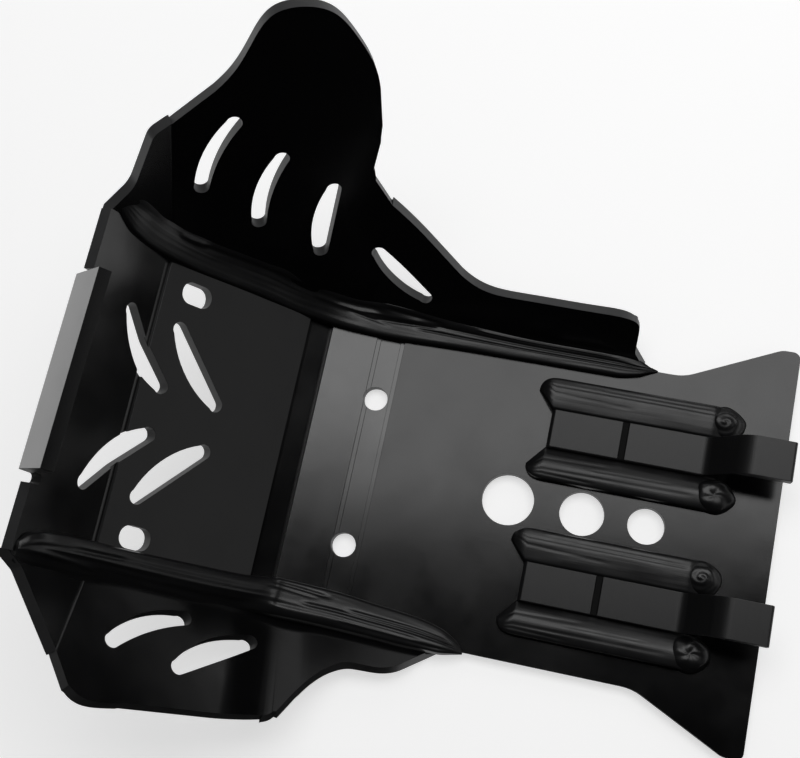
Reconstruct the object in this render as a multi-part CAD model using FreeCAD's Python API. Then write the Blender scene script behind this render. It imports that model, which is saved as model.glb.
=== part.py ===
import FreeCAD, Part
import math
import os

os.makedirs("parts", exist_ok=True)

V = FreeCAD.Vector

# Motorcycle skid plate, in millimetres. X points to the front of the motorcycle,
# Y to its left and Z up. The origin lies on the underside of the belly, halfway
# between the two bolt holes. Every sheet piece is cut from the same plastic sheet.

# Sheet and folds of the main plate
THICK = 8.0
HALF_WIDTH = 102.0
REAR_EDGE = -270.0
FOLD_A_ANGLE = 12.0
FOLD_B_ANGLE = 46.0
FOLD_C_ANGLE = 68.0
LIP_ANGLE = 134.0
BAND_LENGTH = 46.5
RAMP_LENGTH = 120.5
NOSE_LENGTH = 60.3
FRONT_SLANT = 1.1
LIP_LENGTH = 34.0
LIP_HALF_WIDTH = 58.0
LIP_RELIEF = 6.0
BEND_RADIUS = 3.0

# Flared tail of the belly
TAIL_START = -198.0
TAIL_HALF_WIDTH = HALF_WIDTH + 29.0
TAIL_LENGTH = 12.0

# Holes of the main plate
BOLT_HOLE_DIA = 16.0
BOLT_SPACING = 100.0
CENTRE_HOLES = [(-100.0, 34.0), (-148.5, 29.0), (-190.0, 24.0)]
OBLONG_LENGTH = 21.0
OBLONG_WIDTH = 14.0
OBLONG_AT = 95.5
OBLONG_HALF_SPACING = HALF_WIDTH - 24.0
SLOT_END_RADIUS = 4.8
SLOT_BOW = 5.5

# Milled fold grooves: place along the inner face, width and depth
GROOVE_A = (-2.2, 13.5, 1.2)
GROOVE_B = (-1.0, 14.0, 1.4)
GROOVE_C = (0.0, 4.5, 1.6)
GROOVE_STEP = 2.8

# Wings: flare away from the upright, for the main part and for the front facet
RIGHT_FLARE = 36.0
RIGHT_FACET_FLARE = 49.0
RIGHT_FACET_FOLD = 57.5
RIGHT_SWEEP_RADIUS = 140.0
LEFT_FLARE = 60.0
LEFT_FACET_FLARE = 68.8
LEFT_FACET_FOLD = 71.1
LEFT_SWEEP_RADIUS = 85.0
FACET_BEND_RADIUS = 5.0

# Rear hooks
HOOK_WIDTH = 25.0
HOOK_OFFSET = HALF_WIDTH / 2 - 0.5
HOOK_FRONT = -118.0
HOOK_STEP_START = -212.0
HOOK_STEP_END = -232.0
HOOK_TAIL_TOP = 46.0
HOOK_BEND_RADIUS = 8.0

# Weld beads along the wings. Each row is one section of a bead: the fold that it is
# measured from and its place along the side of the plate, the turn of its plane, the
# places (outward, up) where it starts on the plate and ends on the wing, and its height
RIGHT_STATIONS = [
    ("A", -181.0, 0, -0.5, 0.4, 0.8, 1.2), ("A", -177.0, 0, -2.2, 1.0, 3.0, 3.2),
    ("A", -168.0, 0, -6.2, 2.0, 5.4, 5.4), ("A", -154.0, 0, -8.7, 4.4, 6.2, 6.0),
    ("A", -100.0, 0, -8.9, 4.8, 6.7, 6.2), ("A", -55.0, 0, -9.2, 6.5, 9.0, 6.4),
    ("A", -16.0, 0, -10.1, 9.3, 12.8, 6.6), ("A", 22.0, 14, -10.6, 10.8, 12.6, 7.0),
    ("B", 13.5, 41, -9.0, 10.2, 14.0, 6.8), ("B", 49.5, 46, -8.8, 10.6, 14.6, 6.8),
    ("C", -17.0, 50, -9.4, 8.6, 11.9, 6.8), ("C", 17.0, 65, -8.8, 9.6, 8.4, 6.6),
    ("C", 36.0, 68, -6.6, 11.1, 9.6, 6.2), ("C", 45.0, 68, -2.6, 11.2, 9.7, 5.6),
    ("C", 52.0, 68, 2.0, 10.6, 8.6, 4.4), ("C", 56.0, 68, 5.4, 9.4, 6.6, 2.6),
]
LEFT_STATIONS = [
    ("A", -90.0, 0, -1.0, 1.4, 0.6, 1.0), ("A", -85.0, 0, -6.0, 2.6, 1.0, 3.6),
    ("A", -74.0, 0, -12.0, 4.6, 2.4, 7.4), ("A", -54.0, 0, -16.4, 4.8, 2.8, 9.8),
    ("A", -28.0, 0, -18.8, 3.8, 2.2, 10.3), ("A", 2.0, 5, -21.6, 3.4, 0.4, 10.3),
    ("A", 32.0, 22, -22.2, 3.6, -0.6, 9.8), ("B", 15.5, 42, -19.0, 3.6, 1.4, 10.2),
    ("B", 49.5, 46, -17.8, 4.8, 2.8, 10.4), ("C", -17.0, 50, -16.5, 4.7, 2.7, 10.2),
    ("C", 23.0, 66, -16.2, 5.6, 2.2, 9.6), ("C", 45.0, 68, -14.6, 5.4, 2.1, 8.0),
    ("C", 54.0, 68, -11.4, 4.6, 1.8, 5.4), ("C", 59.5, 68, -6.0, 3.0, 1.0, 2.0),
]
# Weld beads along the hooks: sections (outward, up, rounding) from the side of the hook
UPPER_SECTION = [(0, 0, 0), (0, 7.8, 0), (4, 8.8, 8), (13.4, 9.6, 5), (20.4, 4.2, 8), (22, 0, 0)]
LOWER_SECTION = [(0, 0, 0), (0, 3.0, 0), (6.5, 8.8, 9), (15.0, 10.2, 8), (21.4, 6.0, 4), (22, 0, 0)]
BLOB_RADIUS = 10.5
BLOB_SUNK = 2.5
HOOK_BEAD_NOSE = 11.0
HOOK_BEAD_REAR = HOOK_STEP_END + 4.5


def direction(angle):
    a = math.radians(angle)
    return V(math.cos(a), 0, math.sin(a))


def upward(angle):
    a = math.radians(angle)
    return V(-math.sin(a), 0, math.cos(a))


# Corners of the inner face of the folded plate, seen from the side
REAR = V(REAR_EDGE, 0, THICK)
FOLD_A = V(0, 0, THICK)
FOLD_B = FOLD_A + direction(FOLD_A_ANGLE) * BAND_LENGTH
FOLD_C = FOLD_B + direction(FOLD_B_ANGLE) * RAMP_LENGTH
NOSE = direction(FOLD_C_ANGLE)
FRONT = FOLD_C + NOSE * NOSE_LENGTH
# The rear and main parts of a wing meet where the ramp, run on, would meet the belly
SWEEP = FOLD_B - direction(FOLD_B_ANGLE) * ((FOLD_B.z - THICK) / math.sin(math.radians(FOLD_B_ANGLE)))


def outline(corners):
    """Closed wire in the XY plane with every corner (x, y, radius) rounded."""
    count = len(corners)
    starts = []
    ends = []
    middles = []
    for i in range(count):
        x, y, r = corners[i]
        here = V(x, y, 0)
        back = (V(corners[i - 1][0], corners[i - 1][1], 0) - here).normalize()
        ahead = corners[(i + 1) % count]
        ahead = (V(ahead[0], ahead[1], 0) - here).normalize()
        half = back.getAngle(ahead) / 2
        if r == 0 or half > 1.5699:
            starts.append(here)
            ends.append(here)
            middles.append(None)
            continue
        reach = r / math.tan(half)
        centre = here + (back + ahead).normalize() * (r / math.sin(half))
        starts.append(here + back * reach)
        ends.append(here + ahead * reach)
        middles.append(centre + (here - centre).normalize() * r)
    edges = []
    for i in range(count):
        if middles[i] is not None:
            edges.append(Part.Arc(starts[i], middles[i], ends[i]).toShape())
        following = starts[(i + 1) % count]
        if ends[i].distanceToPoint(following) > 1e-6:
            edges.append(Part.LineSegment(ends[i], following).toShape())
    return Part.Wire(edges)


def placed(shape, origin, along, across):
    """Shape drawn in the XY plane, moved to a plane given by its two directions."""
    out = along.cross(across)
    matrix = FreeCAD.Matrix(
        along.x, across.x, out.x, origin.x,
        along.y, across.y, out.y, origin.y,
        along.z, across.z, out.z, origin.z,
        0, 0, 0, 1)
    copy = shape.copy()
    copy.Placement = FreeCAD.Placement(matrix).multiply(copy.Placement)
    return copy


def prism(corners, origin, along, across, low, high):
    """Outline in a plane, made solid from low to high along the plane's normal."""
    face = placed(Part.Face(outline(corners)), origin, along, across)
    out = along.cross(across)
    face.translate(out * low)
    return face.extrude(out * (high - low))


def side_profile(corners, half_width):
    """Outline in the XZ plane, made solid from one side of the plate to the other."""
    return prism(corners, V(0, 0, 0), V(1, 0, 0), V(0, 0, 1), -half_width, half_width)


def beyond(point, normal):
    """Large block that fills the space on the far side of a plane."""
    block = Part.makeBox(1200, 1200, 1200, V(-600, -600, 0))
    block.Placement = FreeCAD.Placement(point, FreeCAD.Rotation(V(0, 0, 1), normal))
    return block


def slot(start, end, bow, origin, along, across):
    """Long slot with round ends, one straight side and one bowed side."""
    a = V(start[0], start[1], 0)
    b = V(end[0], end[1], 0)
    run = (b - a).normalize()
    left = V(-run.y, run.x, 0)
    side = left if bow > 0 else left * -1
    r = SLOT_END_RADIUS
    middle = (a + b) * 0.5 + side * (r + abs(bow))
    edges = [
        Part.LineSegment(a - side * r, b - side * r).toShape(),
        Part.Arc(b - side * r, b + run * r, b + side * r).toShape(),
        Part.Arc(b + side * r, middle, a + side * r).toShape(),
        Part.Arc(a + side * r, a - run * r, a - side * r).toShape(),
    ]
    face = placed(Part.Face(Part.Wire(edges)), origin, along, across)
    out = along.cross(across)
    face.translate(out * -25)
    return face.extrude(out * 50)


# Main plate: one folded sheet with a lip folded back at the middle of its front edge

def offset_down(point, angle_before, angle_after):
    """Corner of the outer face that belongs to a corner of the inner face."""
    half = math.radians((angle_after - angle_before) / 2)
    return point - upward((angle_before + angle_after) / 2) * (THICK / math.cos(half))


BELOW_A = offset_down(FOLD_A, 0, FOLD_A_ANGLE)
BELOW_B = offset_down(FOLD_B, FOLD_A_ANGLE, FOLD_B_ANGLE)
BELOW_C = offset_down(FOLD_C, FOLD_B_ANGLE, FOLD_C_ANGLE)
BELOW_FRONT = FRONT - upward(FOLD_C_ANGLE) * THICK
LIP_CORNER = offset_down(FRONT, FOLD_C_ANGLE, LIP_ANGLE)
OUTER_R = BEND_RADIUS + THICK


def plate_profile():
    return [
        (REAR.x, REAR.z, 0),
        (FOLD_A.x, FOLD_A.z, BEND_RADIUS),
        (FOLD_B.x, FOLD_B.z, BEND_RADIUS),
        (FOLD_C.x, FOLD_C.z, BEND_RADIUS),
        (FRONT.x + 10 * NOSE.x, FRONT.z + 10 * NOSE.z, 0),
        (BELOW_FRONT.x + 10 * NOSE.x, BELOW_FRONT.z + 10 * NOSE.z, 0),
        (BELOW_C.x, BELOW_C.z, OUTER_R),
        (BELOW_B.x, BELOW_B.z, OUTER_R),
        (BELOW_A.x, BELOW_A.z, OUTER_R),
        (REAR.x, 0, 0),
    ]


def lip_profile():
    tip = LIP_CORNER + direction(LIP_ANGLE) * LIP_LENGTH
    inner_tip = tip + upward(LIP_ANGLE) * THICK
    root = FRONT - NOSE * 20
    below_root = root - upward(FOLD_C_ANGLE) * THICK
    return [
        (below_root.x, below_root.z, 0),
        (LIP_CORNER.x, LIP_CORNER.z, 5.0),
        (tip.x, tip.z, 0),
        (inner_tip.x, inner_tip.z, 0),
        (FRONT.x, FRONT.z, 1.0),
        (root.x, root.z, 0),
    ]


def groove(corner, angle, place, width, depth, half_width):
    """Bar that mills a shallow band across the inner face at a fold."""
    origin = corner - upward(angle) * depth
    low = place - width / 2
    high = place + width / 2
    corners = [(low, 0, 0), (high, 0, 0), (high, 12, 0), (low, 12, 0)]
    return prism(corners, origin, direction(angle), upward(angle), -half_width, half_width)


def cylinder_through(point, axis, diameter):
    return Part.makeCylinder(diameter / 2, 60, point - axis * 30, axis)


def slanted(shape):
    """Shape turned in the plane of the nose, as the front edge is a little askew."""
    turn = FreeCAD.Placement(V(0, 0, 0), FreeCAD.Rotation(upward(FOLD_C_ANGLE), -FRONT_SLANT), FRONT)
    shape.Placement = turn.multiply(shape.Placement)
    return shape


def make_main_plate():
    across = V(0, 1, 0)
    plate = side_profile(plate_profile(), HALF_WIDTH)
    plate = plate.cut(slanted(prism(
        [(0, -140, 0), (30, -140, 0), (30, 140, 0), (0, 140, 0)], FRONT, NOSE, across, -25, 25)))
    tail = prism(
        [(REAR_EDGE, -TAIL_HALF_WIDTH, 5), (REAR_EDGE + TAIL_LENGTH, -TAIL_HALF_WIDTH, 12),
         (TAIL_START, -HALF_WIDTH, 30), (TAIL_START + 30, -HALF_WIDTH, 0),
         (TAIL_START + 30, HALF_WIDTH, 0), (TAIL_START, HALF_WIDTH, 30),
         (REAR_EDGE + TAIL_LENGTH, TAIL_HALF_WIDTH, 12), (REAR_EDGE, TAIL_HALF_WIDTH, 5)],
        V(0, 0, 0), V(1, 0, 0), V(0, 1, 0), 0, THICK)
    plate = plate.fuse(tail)
    lip = slanted(side_profile(lip_profile(), LIP_HALF_WIDTH))
    plate = plate.fuse(lip).removeSplitter()

    mean_ab = (FOLD_A_ANGLE + FOLD_B_ANGLE) / 2
    mean_bc = (FOLD_B_ANGLE + FOLD_C_ANGLE) / 2
    cuts = [
        groove(FOLD_A, FOLD_A_ANGLE / 2, GROOVE_A[0], GROOVE_A[1], GROOVE_A[2], 140),
        groove(FOLD_A, FOLD_A_ANGLE / 2, GROOVE_A[0], GROOVE_A[1] + 2 * GROOVE_STEP, 0.5, 140),
        groove(FOLD_B, mean_ab, GROOVE_B[0], GROOVE_B[1], GROOVE_B[2], 140),
        groove(FOLD_B, mean_ab, GROOVE_B[0] + GROOVE_STEP / 2, GROOVE_B[1] + GROOVE_STEP, 0.4, 140),
        groove(FOLD_C, mean_bc, GROOVE_C[0], GROOVE_C[1], GROOVE_C[2], 140),
    ]
    for side in (-1, 1):
        cuts.append(cylinder_through(V(0, side * BOLT_SPACING / 2, THICK), V(0, 0, 1), BOLT_HOLE_DIA))
    for x, diameter in CENTRE_HOLES:
        cuts.append(cylinder_through(V(x, 0, THICK), V(0, 0, 1), diameter))

    ramp = direction(FOLD_B_ANGLE)
    mean = direction(mean_bc)
    for side in (-1, 1):
        half_l = OBLONG_LENGTH / 2
        half_w = OBLONG_WIDTH / 2
        y = side * OBLONG_HALF_SPACING
        cuts.append(prism(
            [(OBLONG_AT - half_l, y - half_w, 6.5), (OBLONG_AT + half_l, y - half_w, 6.5),
             (OBLONG_AT + half_l, y + half_w, 6.5), (OBLONG_AT - half_l, y + half_w, 6.5)],
            FOLD_B, ramp, across, -25, 25))
        cuts.append(slot((64, side * 15.5), (101, side * 53.5), -side * SLOT_BOW, FOLD_B, ramp, across))
        tip = (21.5, 54.0) if side > 0 else (19.7, -52.2)
        cuts.append(slot((-16, side * 15.5), tip, -side * SLOT_BOW, FOLD_C, mean, across))
        # Relief notches beside the lip
        y = side * (LIP_HALF_WIDTH + LIP_RELIEF / 2)
        cuts.append(slanted(prism(
            [(-7, y - LIP_RELIEF / 2, 2.5), (12, y - LIP_RELIEF / 2, 0),
             (12, y + LIP_RELIEF / 2, 0), (-7, y + LIP_RELIEF / 2, 2.5)],
            FRONT, NOSE, across, -25, 25)))
    return plate.cut(cuts)


# Wings: a sheet in three parts, joined to the sides of the plate

class Panel:
    """One flat part of a wing: its own plane through the edge of the plate."""

    def __init__(self, corner, angle, flare, side):
        f = math.radians(flare)
        self.origin = V(corner.x, side * HALF_WIDTH, corner.z)
        self.along = direction(angle)
        self.across = upward(angle) * math.cos(f) + V(0, side, 0) * math.sin(f)
        self.outward = upward(angle) * -math.sin(f) + V(0, side, 0) * math.cos(f)
        self.side = side

    def prism(self, corners, low, high):
        """Solid over an outline; low and high run outward from the inner face."""
        if self.side < 0:
            return prism(corners, self.origin, self.along, self.across, low, high)
        return prism(corners, self.origin, self.along, self.across, -high, -low)


def mitre(panel_behind, panel_ahead, point, fold):
    """Plane that halves the fold between two panels; its normal points ahead."""
    normal = fold.cross(panel_behind.outward + panel_ahead.outward).normalize()
    if normal.dot(panel_ahead.along) < 0:
        normal = normal * -1
    return point, normal


def folded_sheet(panel_behind, panel_ahead, point, fold, radius):
    """Oversize sheet bent along one fold; radius is that of its inner face."""
    behind = fold.cross(panel_behind.outward)
    if behind.dot(panel_behind.along) > 0:
        behind = behind * -1
    ahead = fold.cross(panel_ahead.outward)
    if ahead.dot(panel_ahead.along) < 0:
        ahead = ahead * -1
    half = panel_behind.outward.getAngle(panel_ahead.outward) / 2
    corner = (panel_behind.outward + panel_ahead.outward).normalize() * (THICK / math.cos(half))
    upright = fold.cross(ahead)
    corners = []
    for place, r in ((behind * 400, 0), (V(0, 0, 0), radius), (ahead * 400, 0),
                     (ahead * 400 + panel_ahead.outward * THICK, 0), (corner, radius + THICK),
                     (behind * 400 + panel_behind.outward * THICK, 0)):
        corners.append((place.dot(ahead), place.dot(upright), r))
    return prism(corners, point, ahead, upright, -300, 400)


def make_wing(side, flare, facet_flare, facet_fold, sweep_radius, outlines, slots):
    rear = Panel(FOLD_A, 0, flare, side)
    main = Panel(FOLD_B, FOLD_B_ANGLE, flare, side)
    facet = Panel(FOLD_C, FOLD_C_ANGLE, facet_flare, side)
    sweep_point = V(SWEEP.x, side * HALF_WIDTH, SWEEP.z)
    sweep_fold = rear.outward.cross(main.outward).normalize()
    a = math.radians(facet_fold)
    facet_line = main.along * math.cos(a) + main.across * math.sin(a)
    sweep_cut = mitre(rear, main, sweep_point, sweep_fold)
    facet_cut = mitre(main, facet, facet.origin, facet_line)

    # The sheet of the large bend ends where the small bend of the facet begins
    ahead = facet_line.cross(main.outward).normalize()
    if ahead.dot(main.along) < 0:
        ahead = ahead * -1
    half = main.outward.getAngle(facet.outward) / 2
    start = facet.origin - ahead * (FACET_BEND_RADIUS * math.tan(half))
    sheet = folded_sheet(rear, main, sweep_point, sweep_fold, sweep_radius)
    sheet = sheet.cut(beyond(start, ahead))
    front = folded_sheet(main, facet, facet.origin, facet_line, FACET_BEND_RADIUS)
    front = front.cut(beyond(start, ahead * -1))
    sheet = sheet.fuse([front], 1e-4).removeSplitter()

    # Each part is cut to its own outline, up to the folds
    one = rear.prism(outlines[0], -40, 40).cut(beyond(*sweep_cut))
    two = main.prism(outlines[1], -40, 40).cut(beyond(sweep_cut[0], sweep_cut[1] * -1))
    two = two.cut(beyond(*facet_cut))
    three = facet.prism(outlines[2], -40, 40).cut(beyond(facet_cut[0], facet_cut[1] * -1))
    body = sheet.common(one).fuse([sheet.common(two), sheet.common(three)]).removeSplitter()

    # The foot ends flat on the side of the plate and level with its underside
    reach = HALF_WIDTH if side < 0 else 0
    body = body.cut(Part.makeBox(900, HALF_WIDTH, 500, V(-450, -reach, -200)))
    body = body.cut(side_profile(
        [(REAR_EDGE - 50, 0, 0), (BELOW_A.x, BELOW_A.z, 0), (BELOW_B.x, BELOW_B.z, 0),
         (BELOW_C.x, BELOW_C.z, 0), (BELOW_FRONT.x + 60, BELOW_FRONT.z + 148.5, 0),
         (BELOW_FRONT.x + 200, -200, 0), (REAR_EDGE - 50, -200, 0)], 400))
    for which, start, end, bow in slots:
        panel = (rear, main, facet)[which]
        body = body.cut(slot(start, end, bow, panel.origin, panel.along, panel.across))
    return max(body.Solids, key=lambda s: s.Volume).removeSplitter()


# Right wing: rear strip, main part with the tall round lobe, front facet
RIGHT_OUTLINES = [
    [(-172, -25, 0), (-172, 0, 0), (-164, 12, 6), (-164, 39, 5), (-56, 40, 40),
     (2, 99, 0), (60, 158, 0), (60, -25, 0)],
    [(-160, -25, 0), (-160, 50, 0), (20.6, 98, 0), (46, 109, 12), (60, 137, 45), (92, 173, 60),
     (138, 189.5, 14), (165.5, 170.5, 9), (159, 122, 60), (171, 78, 0), (250, -25, 0)],
    [(-60, -25, 0), (58, -25, 0), (56.8, 18, 20), (74, 50, 10), (71, 61, 0), (40, 160, 0),
     (-60, 160, 0)],
]
RIGHT_SLOTS = [
    (1, (131, 49), (140.5, 97.5), -4.0),
    (1, (85, 43.5), (101.5, 90.5), -4.5),
    (1, (36, 43), (59.5, 87.5), -4.5),
    (0, (-22, 28.5), (9.5, 59.5), -5.0),
]

# Left wing: short rear part, main part with a straight far edge, front facet
LEFT_OUTLINES = [
    [(-76, -25, 0), (-74, 0, 0), (-46, 24, 25), (-18, 23, 14), (0.5, 40, 60), (13, 71.5, 6),
     (20.4, 75.5, 0), (60, 130, 0), (60, -25, 0)],
    [(-160, -25, 0), (-160, 60, 0), (2.3, 74, 0), (96, 79, 0), (128, 82.5, 12), (190, -70, 0)],
    [(-60, -25, 0), (74, -25, 0), (65, 0, 0), (54, 8, 8), (32, 43.6, 0), (0, 95, 0), (-60, 95, 0)],
]
LEFT_SLOTS = [
    (1, (54, 18), (104, 42), -5.5),
    (1, (7, 25.5), (60, 51), -5.5),
]


# Rear hooks: strips that lie on the belly and rise to a raised tail

def make_hook(side):
    base = THICK
    top = THICK * 2
    tail = HOOK_TAIL_TOP
    r_in = HOOK_BEND_RADIUS
    r_out = HOOK_BEND_RADIUS + THICK
    slope = math.atan2(tail - top, HOOK_STEP_START - HOOK_STEP_END)
    shift = THICK * math.tan(slope / 2)
    profile = [
        (HOOK_FRONT, base, 0),
        (HOOK_FRONT, top - 2, 0),
        (HOOK_FRONT - 2, top, 0),
        (HOOK_STEP_START, top, r_in),
        (HOOK_STEP_END, tail, r_out),
        (REAR_EDGE, tail, 2),
        (REAR_EDGE, tail - THICK, 0),
        (HOOK_STEP_END + shift, tail - THICK, r_in),
        (HOOK_STEP_START + shift, base, r_out),
    ]
    strip = side_profile(profile, HOOK_WIDTH / 2)
    cross_groove = Part.makeBox(4, HOOK_WIDTH * 2, 4, V(HOOK_FRONT - 50.5, -HOOK_WIDTH, top - 1))
    strip = strip.cut(cross_groove)
    strip.translate(V(0, side * HOOK_OFFSET, 0))
    return strip


# Weld beads: molten plastic pressed into the corners with a shoe, so that a bead has the
# same section all along and is rounded off at its ends

def corner_prism(section, side, corner, angle, low, high):
    """Section in a corner of the plate, made solid along the run at this angle."""
    corners = [(side * out, up, r) for out, up, r in section]
    return prism(corners, corner, V(0, 1, 0), upward(angle), low, high)


def rounded(piece, corner, angle, ahead, plan, drop):
    """Leaves of a bead's end what lies inside its plan and under its dropping top."""
    along = direction(angle) * ahead
    piece = piece.common(prism(plan, corner, along, V(0, 1, 0), -40, 40))
    return piece.common(prism(drop, corner, along, upward(angle), -150, 150))


def corner_line(fold, place):
    """Point of the corner line at a distance before or after one of the folds."""
    corner, behind, ahead = {
        "A": (FOLD_A, 0, FOLD_A_ANGLE),
        "B": (FOLD_B, FOLD_A_ANGLE, FOLD_B_ANGLE),
        "C": (FOLD_C, FOLD_B_ANGLE, FOLD_C_ANGLE)}[fold]
    return corner + direction(ahead if place > 0 else behind) * place


def make_wing_bead(side, stations, hollow, flares, plate, wing):
    """Bead lofted through its stations; hollow is how far its wing side dips in."""
    sections = []
    for fold, place, angle, inner, out, up, middle in stations:
        width = out - inner
        points = [
            (inner, 0.1 * middle), (inner + 0.05 * width, 0.68 * middle),
            (inner + 0.24 * width, 0.92 * middle), (inner + 0.5 * width, middle),
            (inner + 0.76 * width, middle + (up - middle) * (0.5 - hollow)),
            (out, up), (out + 2, up - 1)]
        origin = corner_line(fold, place) + V(0, side * HALF_WIDTH, 0)
        row = [origin + V(0, side * o, 0) + upward(angle) * h for o, h in points]
        below = [origin + V(0, side * o, 0) - upward(angle) * 14 for o in (inner, out + 2)]
        sections.append(Part.makePolygon(row + [below[1], below[0], row[0]]))
    bead = Part.makeLoft(sections, True, True)

    # Only the part above the plate and inside the wing is left
    under = side_profile(
        [(REAR_EDGE - 50, THICK, 0), (FOLD_A.x, FOLD_A.z, 0), (FOLD_B.x, FOLD_B.z, 0),
         (FOLD_C.x, FOLD_C.z, 0), (FRONT.x + 60, FRONT.z + 148.5, 0),
         (FRONT.x + 200, -200, 0), (REAR_EDGE - 50, -200, 0)], HALF_WIDTH)
    patch = [(-300, -30, 0), (150, -30, 0), (150, 60, 0), (-300, 60, 0)]
    outside = [
        Panel(FOLD_A, 0, flares[0], side).prism(patch, 0, 60),
        Panel(FOLD_B, FOLD_B_ANGLE, flares[0], side).prism(patch, 0, 60),
        Panel(FOLD_C, FOLD_C_ANGLE, flares[1], side).prism(patch, 0, 60),
    ]
    for tool in [under] + outside + [plate, wing]:
        bead = bead.cut([tool], 1e-4)
        bead = max(bead.Solids, key=lambda s: s.Volume)
    return bead


def make_hook_bead(hook_side, outward, section):
    """Bead along a hook, with a rounded nose before it and a pressed blob at its rear."""
    edge = V(HOOK_BEAD_REAR, hook_side * HOOK_OFFSET + outward * HOOK_WIDTH / 2, THICK)
    length = HOOK_FRONT + HOOK_BEAD_NOSE - HOOK_BEAD_REAR
    width = max(out for out, up, r in section)
    nose = length - HOOK_BEAD_NOSE
    piece = corner_prism(section, outward, edge, 0, 0, length)
    plan = [(0, 0, 0), (nose, 0, 0), (length - 2, outward * 4.5, 5), (length, outward * 12, 6),
            (nose + 4, outward * width, 9), (0, outward * width, 0)]
    drop = [(0, 0, 0), (length, 0, 0), (length, 4, 0), (length - 3, 9, 5), (length - 14, 11, 0),
            (0, 11, 0)]
    piece = rounded(piece, edge, 0, 1, plan, drop)
    centre = edge + V(-3, outward * (width / 2 + 1.2), -BLOB_SUNK)
    blob = Part.makeSphere(BLOB_RADIUS + BLOB_SUNK / 2, centre)
    blob = blob.common(Part.makeBox(60, 40, 40, edge + V(-30, -20 + outward * 20, 0)))
    return piece.fuse(blob).removeSplitter()


main_plate = make_main_plate()
right_wing = make_wing(-1, RIGHT_FLARE, RIGHT_FACET_FLARE, RIGHT_FACET_FOLD,
                       RIGHT_SWEEP_RADIUS, RIGHT_OUTLINES, RIGHT_SLOTS)
left_wing = make_wing(1, LEFT_FLARE, LEFT_FACET_FLARE, LEFT_FACET_FOLD,
                      LEFT_SWEEP_RADIUS, LEFT_OUTLINES, LEFT_SLOTS)
right_hook = make_hook(-1)
left_hook = make_hook(1)

parts = {
    "main_plate": main_plate,
    "right_wing": right_wing,
    "left_wing": left_wing,
    "right_hook": right_hook,
    "left_hook": left_hook,
    "right_wing_bead": make_wing_bead(-1, RIGHT_STATIONS, 0.12,
                                      (RIGHT_FLARE, RIGHT_FACET_FLARE), main_plate, right_wing),
    "left_wing_bead": make_wing_bead(1, LEFT_STATIONS, -0.3,
                                     (LEFT_FLARE, LEFT_FACET_FLARE), main_plate, left_wing),
    "right_hook_outer_bead": make_hook_bead(-1, -1, UPPER_SECTION),
    "right_hook_inner_bead": make_hook_bead(-1, 1, LOWER_SECTION),
    "left_hook_inner_bead": make_hook_bead(1, -1, UPPER_SECTION),
    "left_hook_outer_bead": make_hook_bead(1, 1, LOWER_SECTION),
}

for name, shape in parts.items():
    solid, = shape.Solids
    print(name, solid.isValid(), round(solid.Volume / 1000, 1), "cm3")
    solid.exportStep("parts/" + name + ".step")
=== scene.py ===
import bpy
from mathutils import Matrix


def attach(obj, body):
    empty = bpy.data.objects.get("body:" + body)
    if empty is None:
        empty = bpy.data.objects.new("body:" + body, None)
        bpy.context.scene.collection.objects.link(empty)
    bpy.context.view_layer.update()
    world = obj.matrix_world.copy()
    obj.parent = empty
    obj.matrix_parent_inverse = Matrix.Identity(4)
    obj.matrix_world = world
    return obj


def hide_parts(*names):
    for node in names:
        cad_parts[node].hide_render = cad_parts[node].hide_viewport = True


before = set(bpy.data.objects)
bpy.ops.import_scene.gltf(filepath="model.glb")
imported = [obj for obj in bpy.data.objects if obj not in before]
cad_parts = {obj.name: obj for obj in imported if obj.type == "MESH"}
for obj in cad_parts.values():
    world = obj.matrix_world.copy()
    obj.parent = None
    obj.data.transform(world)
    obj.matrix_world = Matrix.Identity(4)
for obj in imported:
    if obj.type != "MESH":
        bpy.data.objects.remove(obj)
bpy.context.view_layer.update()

import math

import bmesh
import bpy
import numpy as np
from mathutils import Matrix, Vector, noise
from mathutils.geometry import delaunay_2d_cdt

scene = bpy.context.scene
scene.view_settings.view_transform = "Standard"


# Camera. It looks down on the inside of the plate from above its left rear, so the front
# of the plate is at the left of the picture and the right wing at the top.

camera_data = bpy.data.cameras.new("camera")
camera_data.sensor_fit = "HORIZONTAL"
camera_data.sensor_width = 36.0
camera_data.lens = 1260.4 / 800 * 36.0
camera_data.clip_start = 0.01
camera = bpy.data.objects.new("camera", camera_data)
scene.collection.objects.link(camera)
scene.camera = camera
ahead = Vector((0.15035, -0.21912, -0.96404)).normalized()
right = Vector((-0.9728, -0.20663, -0.10475)).normalized()
up = right.cross(ahead).normalized()
right = ahead.cross(up).normalized()
turn = Matrix((right, up, -ahead)).transposed()
camera.matrix_world = Matrix.Translation((-0.1413, 0.1199, 0.8266)) @ turn.to_4x4()


# Extruded polyethylene sheet: black, pressed between polished rolls, so its faces shine
# softly and carry fine rubbing marks. All five sheet pieces are cut from it.

def paint(hex_colour):
    """Linear colour of an sRGB hex value."""
    parts = [int(hex_colour[i:i + 2], 16) / 255 for i in (1, 3, 5)]
    linear = [c / 12.92 if c <= 0.04045 else ((c + 0.055) / 1.055) ** 2.4 for c in parts]
    return (*linear, 1.0)


def add_node(material, kind, settings=None, links=None):
    """Adds a node, sets its properties and inputs, and links its inputs."""
    node = material.node_tree.nodes.new(kind)
    for name, value in (settings or {}).items():
        if isinstance(name, str) and hasattr(node, name):
            setattr(node, name, value)
        else:
            node.inputs[name].default_value = value
    for name, source in (links or {}).items():
        material.node_tree.links.new(source, node.inputs[name])
    return node


def new_material(name):
    material = bpy.data.materials.new(name)
    material.use_nodes = True
    material.node_tree.nodes.clear()
    return material


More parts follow.
